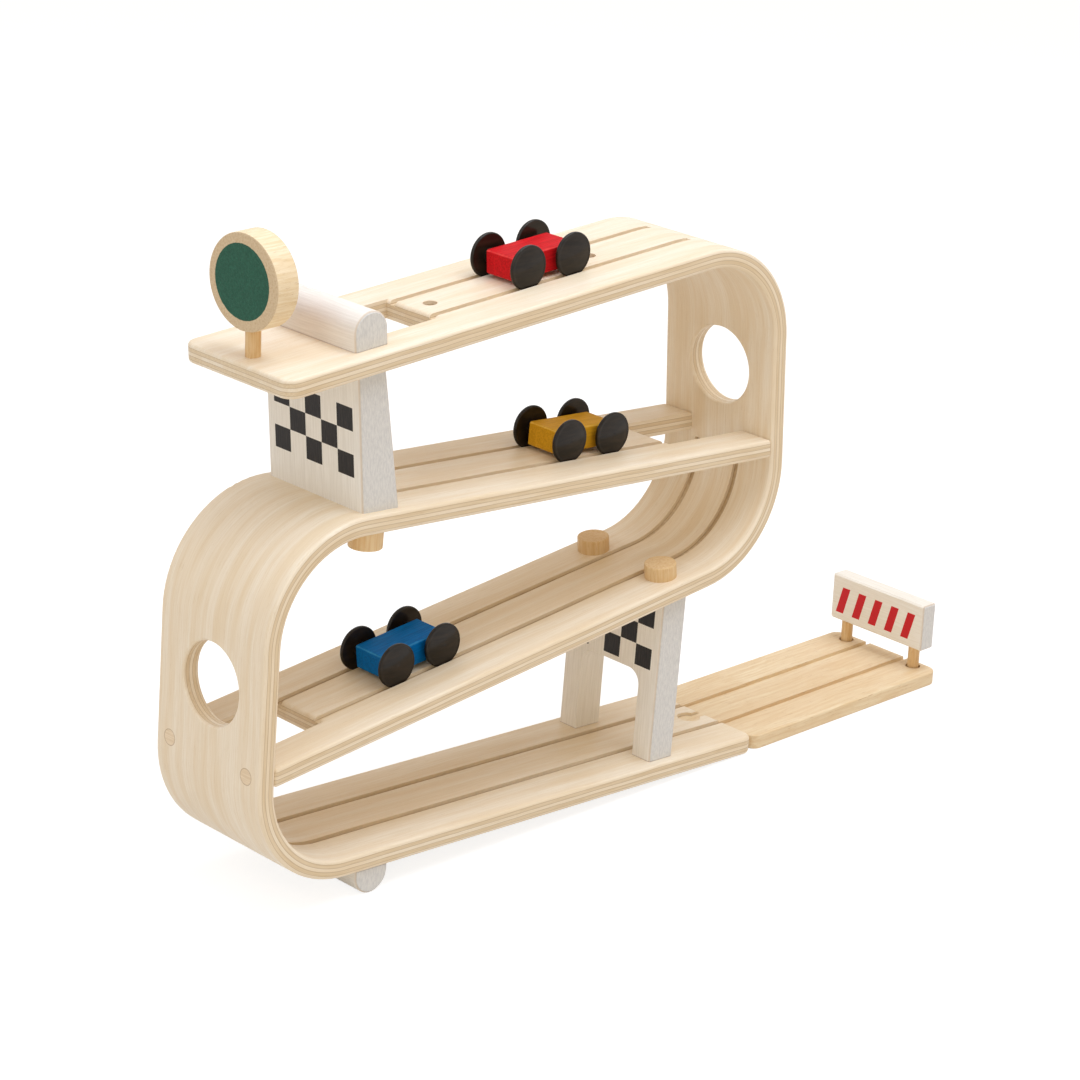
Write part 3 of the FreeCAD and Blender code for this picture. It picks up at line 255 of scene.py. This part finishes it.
def birch_ply(name, strip):
    """Lacquered birch plywood for one strip: pale faces, faint cross veneers and glue lines."""
    material, tree, shader = finish_with(name, **SATIN)
    facings = [math.radians(angle) for angle in strip["facings"]]
    centres = {key: block_place(*strip[key]) for key in ("upper", "lower")}
    gap = Vector(centres["upper"]) - Vector(centres["lower"])
    rise = gap.z * math.cos(facings[1]) - gap.x * strip["side"] * math.sin(facings[1])
    mapped = put(
        tree, "Group",
        {
            "Position": own_place(tree), "Upper Centre": centres["upper"],
            "Lower Centre": centres["lower"], "Side": strip["side"], "Split": strip["split"] * MM,
            "Top Facing": facings[0], "Wall Facing": facings[1], "Low Facing": facings[2],
            "Lower Shift": -rise,
        },
        node_tree=strip_map,
    ).outputs
    grain = grained(tree, mapped["Vector"], length=50, width=0.9, wander=4)

    # which veneer a point lies in, counted inwards, with a slight waviness
    wobble = noise(tree, stretched(tree, mapped["Vector"], 30 * MM, 30 * MM, 30 * MM), 1.0)
    wobble = work_out(tree, "MULTIPLY_ADD", wobble, VENEER_WAVE, -VENEER_WAVE / 2)
    level = work_out(tree, "MULTIPLY_ADD", mapped["Depth"], VENEERS / (PLY * MM), wobble)
    limits = {"Value": level, "Min": VENEER_SKIN, "Max": VENEERS - VENEER_SKIN}
    level = put(tree, "Clamp", limits).outputs[0]
    crossing = work_out(tree, "GREATER_THAN", work_out(tree, "MODULO", level, 2.0), 1.0)
    seam = ease(tree, work_out(tree, "PINGPONG", level, 0.5), *SEAM_FADE)
    below = ease(tree, level, 0.5, 0.6)
    above = ease(tree, level, VENEERS - 0.5, VENEERS - 0.6)
    seam = times(tree, seam, times(tree, below, above))

    face = tinted(tree, paint("F4E9D7"), grain["Streaks"], 0.45, "DFCDAE")
    face = tinted(tree, face, grain["Figure"], 0.5, "E1C8A0")
    cross = mixed(tree, grain["Streaks"], paint("E6D5B9"), paint("D9C3A0"))
    colour = mixed(tree, crossing, face, cross)
    colour = tinted(tree, colour, seam, 0.55, "A88A64")
    colour = tinted(tree, colour, grain["Pores"], 0.35, "BE9B69")
    coloured(tree, shader, colour)
    roughness = work_out(tree, "MULTIPLY_ADD", grain["Streaks"], 0.1, 0.42)
    tree.links.new(roughness, shader.inputs["Roughness"])
    bump(tree, shader, grain["Height"], 0.25)
    return material


for name, strip in STRIPS.items():
    dress_nodes(birch_ply(name + "_birch", strip), name)


# Turned dowel parts: the big-headed pegs that hold the arch and the tower, the sign's and
# the barrier's posts, the wheel axles and the glued pins. They are plain beech, a warmer
# tan than the plywood, with the grain along each part.
PEG_WOODS = {
    "arch_peg": (-THIRD_SLOPE, "EAD1A8", "DBB886"),
    "tower_peg": (SECOND_SLOPE, "F0DAB4", "E2C08E"),
    "stop_pin": (-FIRST_SLOPE, "EAD1A8", "DBB886"),
}
SIDES = ("near", "far")
ENDS = ("front", "rear")


def turned_about(tree, place, degrees, axis=1):
    """Coordinates on a piece that stands at a place and is turned about one axis."""
    turn = [0.0, 0.0, 0.0]
    turn[axis] = math.radians(degrees)
    sockets = {"Vector": own_place(tree), "Location": place, "Rotation": turn}
    return put(tree, "Mapping", sockets, vector_type="TEXTURE").outputs[0]


def swapped(tree, vector, order):
    """The same coordinates in another order, so that the grain's X lies along another axis."""
    parts = apart(tree, vector)
    return together(tree, *(parts["XYZ".index(letter)] for letter in order))


def beech(name, pale, dark, fleck, lean=0.0, order="ZXY"):
    """Fine-textured beech with short flecks, its grain along the first axis of `order`."""
    material, tree, shader = finish_with(name, 0.5, coat=0.05, coat_roughness=0.4, gleam=0.25)
    local = turned_about(tree, (0, 0, 0), lean)
    grain = grained(tree, swapped(tree, local, order), length=30, width=1.4, wander=3)
    colour = mixed(tree, grain["Streaks"], paint(pale), paint(dark))
    colour = tinted(tree, colour, grain["Figure"], 0.4, dark)
    colour = tinted(tree, colour, grain["Pores"], 0.5, fleck)
    coloured(tree, shader, colour)
    bump(tree, shader, grain["Height"], 0.3)
    return material


for name, (lean, pale, dark) in PEG_WOODS.items():
    wood = beech(name + "_beech", pale, dark, "A87C48", lean)
    dress_nodes(wood, *(f"{name}_{side}" for side in SIDES))
post_wood = beech("post_beech", "EBCFA2", "D9B37E", "A87A48")
dress_nodes(post_wood, "sign_post")
for name in ("barrier_post", "foot_pin"):
    dress_nodes(post_wood, *(f"{name}_{side}" for side in SIDES))
axle_wood = beech("axle_beech", "E8CDA0", "D9B780", "A07A48", order="YXZ")
for car in ("red", "yellow", "blue"):
    dress_nodes(axle_wood, *(f"{car}_{end}_axle" for end in ENDS))

# Plugs that close the screw holes in the walls: slices of birch dowel set flush and sanded
# with the wall, so that little more than a thin dark ring of glue shows.
PLUG_RADIUS = 5.2
PLUG_SPREAD = 35.5


def middle_of(name):
    """The middle of a CAD node's box."""
    corners = [nodes[name].matrix_world @ Vector(corner) for corner in nodes[name].bound_box]
    return sum(corners, Vector()) / 8


def size_of(tree, value):
    """A value without its sign."""
    return work_out(tree, "ABSOLUTE", value)


def from_axis(tree, first, second):
    """Distance from an axis, from the two coordinates square to it."""
    squares = (times(tree, value, value) for value in (first, second))
    return work_out(tree, "SQRT", work_out(tree, "ADD", *squares))


for wall, lean in (("left", LEFT_LEAN), ("right", -RIGHT_LEAN)):
    plug_wood, tree, shader = finish_with(wall + "_plug_birch", **SATIN)
    middle = middle_of(f"{wall}_plug_near")
    local = turned_about(tree, (middle.x, 0, middle.z), lean)
    parts = apart(tree, local)
    sideways = work_out(tree, "SUBTRACT", size_of(tree, parts[1]), PLUG_SPREAD * MM)
    rim = from_axis(tree, sideways, parts[2])
    ring = ease(tree, rim, (PLUG_RADIUS - 0.7) * MM, (PLUG_RADIUS - 0.2) * MM)
    grain = grained(tree, swapped(tree, local, "YZX"), length=20, width=1, wander=3)
    colour = mixed(tree, grain["Streaks"], paint("EEDCC2"), paint("DDC6A4"))
    coloured(tree, shader, tinted(tree, colour, ring, 0.55, "9C7B58"))
    dress_nodes(plug_wood, *(f"{wall}_plug_{side}" for side in SIDES))

# Steel screws under the plugs in the walls, down through the deck into the tower and up
# through the bottom run into the arch: bright zinc with faint turning marks round the head.
steel, tree, shader = finish_with("zinc_steel", 0.34)
shader.inputs["Metallic"].default_value = 1.0
mottle = noise(tree, stretched(tree, own_place(tree), 2 * MM, 2 * MM, 0.4 * MM))
coloured(tree, shader, mixed(tree, mottle, paint("B9BABC"), paint("8E9094")))
bump(tree, shader, mottle, 0.2, 0.1 * MM)
for name in ("left_wall_screw", "right_wall_screw", "tower_screw", "arch_screw"):
    dress_nodes(steel, *(f"{name}_{side}" for side in SIDES))

# The white-washed blocks: start stop, tower, arch and foot. They are rubberwood rubbed with
# thin white stain, so the grain shows warm along the sides and the sawn ends turn a mottled
# grey. The tower and the arch carry a printed chequer on their left faces.
CHEQUER = 14.1
CHEQUER_COLUMNS = 5
CHEQUER_ROWS = 3
BLOCK_EDGE = 1.2
# Each printed block: its finish, place, lean, share of painted contact shadow at its foot, and the
# foot of its print
PRINTED_BLOCKS = {
    "tower_block": ("tower_whitewash", block_place(75.6, 240.57), -FIRST_SLOPE, 0.0, 20.1),
    "arch_gate": ("arch_whitewash", block_place(323.5, 16.27), FOURTH_SLOPE, 0.35, 61.1),
}
PRINTED_HALF = 42.0
PLAIN_BLOCKS = {
    "start_stop": (block_place(83.7, 336.31), -FIRST_SLOPE, 37.5),
    "support_foot": (block_place(85.2, 16.3), FOURTH_SLOPE, 46.5),
}


def whitewash(name, place, lean, order, half_width, warm="E4E0D8", pale="F5F2EC", contact_shadow_share=0.35):
    """White-stained wood with painted contact shadow round its foot; `half_width` is where its sawn
    ends begin on both sides.
    """
    material, tree, shader = finish_with(name, 0.6, gleam=0.3)
    local = turned_about(tree, place, lean)
    grain = grained(tree, swapped(tree, local, order), length=30, width=1.1, wander=3)
    parts = apart(tree, local)
    outwards = size_of(tree, parts[1])
    edge = (half_width - BLOCK_EDGE) * MM
    sawn = ease(tree, outwards, edge, edge + 0.6 * BLOCK_EDGE * MM)
    long_side = tinted(tree, paint(pale), grain["Streaks"], 0.7, warm)
    long_side = tinted(tree, long_side, grain["Pores"], 0.2, "CFC4B5")
    mottle = noise(tree, stretched(tree, local, 1.2 * MM, 1.2 * MM, 4 * MM), 5.0, 0.7)
    mottle = ease(tree, mottle, 0.3, 0.75)
    end = mixed(tree, mottle, paint("E2E2E1"), paint("CBCCCE"))
    colour = mixed(tree, sawn, long_side, end)
    bevel_start = ease(tree, outwards, edge - 0.2 * MM, edge + 0.3 * MM)
    bevel_end = ease(tree, outwards, (half_width - 0.1) * MM, (half_width - 0.5) * MM)
    colour = tinted(tree, colour, times(tree, bevel_start, bevel_end), 0.5, "CDB497")
    # a thin dark brown band where the block sits on the track is painted contact shadow
    painted_contact_shadow = ease(tree, size_of(tree, parts[2]), 0.8 * MM, 0.3 * MM)
    colour = tinted(tree, colour, painted_contact_shadow, contact_shadow_share, "7A5232")
    bump(tree, shader, blended(tree, sawn, grain["Height"], mottle), 0.3, 0.3 * MM)
    return material, tree, shader, colour, parts


def within(tree, mask, value, low, high):
    """A mask that is kept only where a value lies between two limits."""
    mask = times(tree, mask, work_out(tree, "GREATER_THAN", value, low))
    return times(tree, mask, work_out(tree, "LESS_THAN", value, high))


def chequer(tree, shader, colour, parts, bottom):
    """A chequer of dark printed squares on the left face, from a height above the block's foot."""
    column = work_out(tree, "MULTIPLY_ADD", parts[1], 1 / (CHEQUER * MM), CHEQUER_COLUMNS / 2)
    row = work_out(tree, "MULTIPLY_ADD", parts[2], 1 / (CHEQUER * MM), -bottom / CHEQUER)
    count = work_out(
        tree, "ADD", work_out(tree, "FLOOR", column), work_out(tree, "FLOOR", row)
    )
    even = work_out(tree, "LESS_THAN", work_out(tree, "MODULO", count, 2.0), 0.5)
    even = within(tree, even, column, 0.0, float(CHEQUER_COLUMNS))
    even = within(tree, even, row, 0.0, float(CHEQUER_ROWS))
    even = times(tree, even, work_out(tree, "LESS_THAN", parts[0], 0.5 * MM))
    fibre = stretched(tree, together(tree, parts[2], parts[1], parts[0]), 8 * MM, 0.7 * MM, 0.7 * MM)
    texture = ease(tree, noise(tree, fibre, 4.0), 0.4, 0.75)
    ink = mixed(tree, texture, paint("1B1715"), paint("332D29"))
    coloured(tree, shader, mixed(tree, even, colour, ink))


for name, (finish, place, lean, contact_shadow_share, bottom) in PRINTED_BLOCKS.items():
    material, *block = whitewash(finish, place, lean, "ZXY", PRINTED_HALF, contact_shadow_share=contact_shadow_share)
    chequer(*block, bottom)
    dress_nodes(material, name)
for name, (place, lean, half) in PLAIN_BLOCKS.items():
    material, tree, shader, colour, parts = whitewash(name + "_whitewash", place, lean, "YXZ", half)
    coloured(tree, shader, colour)
    dress_nodes(material, name)

# The turning sign: a thick beech disc sliced across the grain, its sawn faces a little
# rough, with a round print on each face, green to the left and red to the right.
SIGN_PLACE = (28.2, 376.86)
SIGN_TURN = 4.0
SIGN_FACE = 7.6
PRINT_RADIUS = 22.0
PRINT_SHIFT = 1.0
PRINT_BLUR = 0.15
PRINT_RAG = 0.6
sign_wood, tree, shader = finish_with("sign_beech", 0.55, gleam=0.25)
local = turned_about(tree, block_place(*SIGN_PLACE), SIGN_TURN, axis=2)
parts = apart(tree, local)
grain = grained(tree, local, length=20, width=1.4, wander=2)
colour = mixed(tree, grain["Streaks"], paint("F3E3C6"), paint("E5CDA4"))
colour = tinted(tree, colour, grain["Pores"], 0.45, "B9925F")
radius = from_axis(tree, work_out(tree, "ADD", parts[1], -PRINT_SHIFT * MM), parts[2])
sawn_face = work_out(tree, "GREATER_THAN", size_of(tree, parts[0]), SIGN_FACE * MM)
face_mottle = noise(tree, stretched(tree, local, 4 * MM, 1.2 * MM, 1.2 * MM), 5.0, 0.7)
face_mottle = ease(tree, face_mottle, 0.35, 0.7)
face = mixed(tree, face_mottle, paint("DAC5A5"), paint("C8AE89"))
colour = mixed(tree, sawn_face, colour, face)
ragged = noise(tree, stretched(tree, local, 2 * MM, 2 * MM, 2 * MM))
ragged = work_out(tree, "MULTIPLY_ADD", ragged, PRINT_RAG * MM, -PRINT_RAG / 2 * MM)
printed = ease(
    tree, work_out(tree, "ADD", radius, ragged),
    (PRINT_RADIUS + PRINT_BLUR) * MM, (PRINT_RADIUS - PRINT_BLUR) * MM,
)
printed = times(tree, printed, sawn_face)
ink_mottle = noise(tree, stretched(tree, local, 3 * MM, 1.5 * MM, 1.5 * MM), 5.0, 0.75)
ink_mottle = ease(tree, ink_mottle, 0.35, 0.75)
green = mixed(tree, ink_mottle, paint("194C3A"), paint("29614C"))
red = mixed(tree, ink_mottle, paint("A92024"), paint("C43A38"))
ink = mixed(tree, work_out(tree, "GREATER_THAN", parts[0], 0.0), green, red)
coloured(tree, shader, mixed(tree, printed, colour, ink))
bump(tree, shader, blended(tree, sawn_face, grain["Height"], face_mottle), 0.35, 0.3 * MM)
dress_nodes(sign_wood, "sign_disc")

# The lift-off end track: one piece of solid rubberwood, darker than the plywood, with two
# sawn wheel grooves, a round knob at one end and holes for the barrier at the other.
track_wood, tree, shader = finish_with(
    "track_rubberwood", 0.48, coat=0.08, coat_roughness=0.35, gleam=0.25
)
grain = grained(tree, own_place(tree), length=45, width=2.2, wander=9)
colour = mixed(tree, grain["Streaks"], paint("EFDFC0"), paint("E1C8A0"))
colour = tinted(tree, colour, grain["Figure"], 0.4, "D8B68A")
colour = tinted(tree, colour, grain["Pores"], 0.45, "B08658")
coloured(tree, shader, colour)
bump(tree, shader, grain["Height"], 0.35)
dress_nodes(track_wood, "end_track")

# The barrier: a white-washed board that stands on two posts, with five slanted red stripes
# printed on its left face.
BARRIER_PLACE = 597.0
BARRIER_HALF = 42.0
BOARD_FACE = 590.5
STRIPE_PITCH = 15.0
STRIPE_WIDTH = 6.8
STRIPE_COUNT = 5
STRIPE_FOOT = 31.2
STRIPE_TOP = 50.7
STRIPE_FIRST = 37.4
STRIPE_SLANT = 5.2 / (STRIPE_TOP - STRIPE_FOOT)
material, tree, shader, colour, parts = whitewash(
    "barrier_whitewash", block_place(BARRIER_PLACE, 0.0), 0.0, "YXZ", BARRIER_HALF,
    warm="EAE4D8", pale="F5F2EB",
)
climb = work_out(tree, "MULTIPLY_ADD", parts[2], STRIPE_SLANT, -STRIPE_FOOT * STRIPE_SLANT * MM)
step = work_out(tree, "SUBTRACT", STRIPE_FIRST * MM, work_out(tree, "ADD", parts[1], climb))
step = work_out(tree, "DIVIDE", step, STRIPE_PITCH * MM)
striped = work_out(tree, "LESS_THAN", work_out(tree, "FRACT", step), STRIPE_WIDTH / STRIPE_PITCH)
striped = within(tree, striped, step, 0.0, float(STRIPE_COUNT))
striped = within(tree, striped, parts[2], STRIPE_FOOT * MM, STRIPE_TOP * MM)
left_face = work_out(tree, "LESS_THAN", parts[0], (BOARD_FACE - BARRIER_PLACE + 0.3) * MM)
striped = times(tree, striped, left_face)
coloured(tree, shader, mixed(tree, striped, colour, paint("CB1C27")))
dress_nodes(material, "barrier_board")

# The cars: small blocks of maple soaked in red, mustard and blue stain, so that the grain
# shows through. The stain is rubbed lighter along the bevelled edges.
CAR_HALF = (25.0, 12.5, 7.5)
CAR_MIDDLE = 10.0
RUB_WIDTH = 1.1
RUB_WAVE = 4.0
CARS = {
    "red": (240.5, 331.1, FIRST_SLOPE, "D81C24", "B01219", "EE5A55"),
    "yellow": (280.0, 245.6, -SECOND_SLOPE, "DFAA2A", "C5901A", "EFCB6C"),
    "blue": (145.5, 100.7, THIRD_SLOPE, "0074C6", "005EA4", "4CA4DA"),
}
edge_rub, given, result = shader_group(
    "edge_rub", {"Vector": "Vector", "Half Size": "Vector", "Width": "Float"}, {"Edge": "Float"}
)
near = put(edge_rub, "VectorMath", {0: given["Vector"]}, operation="ABSOLUTE").outputs[0]
near = put(edge_rub, "VectorMath", {0: given["Half Size"], 1: near}, operation="SUBTRACT").outputs[0]
gaps = apart(edge_rub, near)
closest = work_out(edge_rub, "MAXIMUM", gaps[0], gaps[1])
for first, second in ((1, 2), (0, 2)):
    wider = work_out(edge_rub, "MAXIMUM", gaps[first], gaps[second])
    closest = work_out(edge_rub, "MINIMUM", closest, wider)
wave = stretched(edge_rub, given["Vector"], RUB_WAVE * MM, RUB_WAVE * MM, RUB_WAVE * MM)
worn = times(edge_rub, noise(edge_rub, wave), given["Width"])
closest = work_out(edge_rub, "SUBTRACT", closest, worn)
closest = work_out(edge_rub, "DIVIDE", closest, given["Width"])
edge_rub.links.new(ease(edge_rub, closest, 0.6, -0.2), result["Edge"])

for car, (across, zero_height, slope, stain, deep, rubbed) in CARS.items():
    material, tree, shader = finish_with(car + "_stained_maple", 0.55, gleam=0.08)
    rise = math.radians(slope)
    ground = zero_height + across * math.tan(rise)
    middle = block_place(across - CAR_MIDDLE * math.sin(rise), ground + CAR_MIDDLE * math.cos(rise))
    local = turned_about(tree, middle, -slope)
    grain = grained(tree, local, length=20, width=1.1, wander=3)
    half = tuple(size * MM for size in CAR_HALF)
    rub = put(
        tree, "Group", {"Vector": local, "Half Size": half, "Width": RUB_WIDTH * MM},
        node_tree=edge_rub,
    ).outputs["Edge"]
    colour = mixed(tree, grain["Streaks"], paint(stain), paint(deep))
    colour = tinted(tree, colour, grain["Pores"], 0.5, deep)
    colour = tinted(tree, colour, rub, 0.55, rubbed)
    coloured(tree, shader, colour)
    bump(tree, shader, grain["Height"], 0.3)
    dress_nodes(material, f"{car}_body")

# The wheels: turned wooden discs with a rolled rim and a gently domed face, dipped in
# dark brown lacquer that pools glossy round the rim.
wheel_black, tree, shader = finish_with(
    "wheel_lacquer", 0.3, coat=0.35, coat_roughness=0.06, gleam=0.08
)
cloud = noise(tree, stretched(tree, own_place(tree), 20 * MM, 20 * MM, 4 * MM), 4.0, 0.6)
cloud = ease(tree, cloud, 0.35, 0.7)
coloured(tree, shader, mixed(tree, cloud, paint("1D1813"), paint("2A221A")))
tree.links.new(work_out(tree, "MULTIPLY_ADD", cloud, 0.12, 0.28), shader.inputs["Roughness"])
bump(tree, shader, cloud, 0.15)
for car in CARS:
    dress_nodes(wheel_black, *(f"{car}_{end}_{side}_wheel" for end in ENDS for side in SIDES))

# The place for the picture: a white floor that keeps a soft shadow, wide lamps overhead
# and to the left, and a camera at the photograph's height and angle.
FLOOR_SIZE = 24.0
WHITE = (1.0, 1.0, 1.0, 1.0)
FLOOR_GREY = (0.34, 0.34, 0.34, 1.0)
FLOOR_GLOW = 0.82
AIR = (1.0, 0.80, 0.60, 1.0)
AIR_STRENGTH = 0.56
LAMP_AIM = (0.0, 0.0, 0.2)
LAMPS = {
    "overhead_box": ((0.3, -0.5, 2.2), 1.6, 36, (0.80, 0.89, 1.0)),
    "top_left_box": ((-1.3, 0.0, 2.1), 1.6, 12, (0.68, 0.80, 1.0)),
    "left_box": ((-2.2, -0.5, 1.2), 1.4, 6, (0.50, 0.76, 1.0)),
    "left_front_box": ((-1.6, -1.8, 0.9), 1.4, 4, (1.0, 0.85, 0.5)),
}
LENS = 109.21
SENSOR = 36.0
CAMERA_PLACE = (-1.37570, -1.36787, 0.87948)
CAMERA_TURN = math.radians(-44.247)
CAMERA_RISE = math.radians(20.352)
CAMERA_ROLL = math.radians(2.475)


def in_sight(tree):
    """1 on a ray from the camera, straight or by way of a glossy or a clear surface."""
    path = put(tree, "LightPath").outputs
    seen = work_out(tree, "ADD", path["Is Camera Ray"], path["Is Glossy Ray"])
    return work_out(tree, "MINIMUM", work_out(tree, "ADD", seen, path["Is Transmission Ray"]), 1.0)


bpy.ops.object.select_all(action="DESELECT")
bpy.ops.mesh.primitive_plane_add(size=FLOOR_SIZE, location=(0, 0, 0))
floor = bpy.context.object
floor.name = "floor"
floor_white = bpy.data.materials.new("floor_white")
floor_white.use_nodes = True
tree = floor_white.node_tree
tree.nodes.clear()
plain = put(tree, "BsdfDiffuse", {"Color": paint("E6E4E0")}).outputs[0]
shaded = put(tree, "BsdfDiffuse", {"Color": FLOOR_GREY}).outputs[0]
glow = put(tree, "Emission", {"Color": WHITE, "Strength": FLOOR_GLOW}).outputs[0]
bright = put(tree, "AddShader", {0: shaded, 1: glow}).outputs[0]
surface = put(tree, "MixShader", {0: in_sight(tree), 1: plain, 2: bright}).outputs[0]
put(tree, "OutputMaterial", {"Surface": surface})
floor.data.materials.append(floor_white)

world = bpy.data.worlds.new("studio")
bpy.context.scene.world = world
world.use_nodes = True
tree = world.node_tree
tree.nodes.clear()
warm_air = put(tree, "Background", {"Color": AIR, "Strength": AIR_STRENGTH}).outputs[0]
backdrop = put(tree, "Background", {"Color": WHITE, "Strength": 1.0}).outputs[0]
surface = put(tree, "MixShader", {0: in_sight(tree), 1: warm_air, 2: backdrop}).outputs[0]
put(tree, "OutputWorld", {"Surface": surface})

# Square soft boxes, each turned to face the toy
for name, (place, size, power, colour) in LAMPS.items():
    lamp = bpy.data.lights.new(name, "AREA")
    lamp.shape = "SQUARE"
    lamp.size = size
    lamp.energy = power
    lamp.color = colour
    box = bpy.data.objects.new(name, lamp)
    bpy.context.scene.collection.objects.link(box)
    box.location = place
    towards = Vector(LAMP_AIM) - Vector(place)
    box.rotation_euler = towards.to_track_quat("-Z", "Y").to_euler()

right = Vector((math.cos(CAMERA_TURN), math.sin(CAMERA_TURN), 0.0))
back = Vector((
    math.sin(CAMERA_TURN) * math.cos(CAMERA_RISE),
    -math.cos(CAMERA_TURN) * math.cos(CAMERA_RISE),
    math.sin(CAMERA_RISE),
))
up = back.cross(right)
across = math.cos(CAMERA_ROLL) * right + math.sin(CAMERA_ROLL) * up
upward = math.cos(CAMERA_ROLL) * up - math.sin(CAMERA_ROLL) * right
camera_data = bpy.data.cameras.new("photo_camera")
camera_data.lens = LENS
camera_data.sensor_width = SENSOR
camera_data.clip_start = 0.01
camera = bpy.data.objects.new("photo_camera", camera_data)
bpy.context.scene.collection.objects.link(camera)
turned_view = Matrix((across, upward, back)).transposed().to_4x4()
camera.matrix_world = Matrix.Translation(CAMERA_PLACE) @ turned_view
bpy.context.scene.camera = camera
bpy.context.scene.view_settings.view_transform = "Standard"
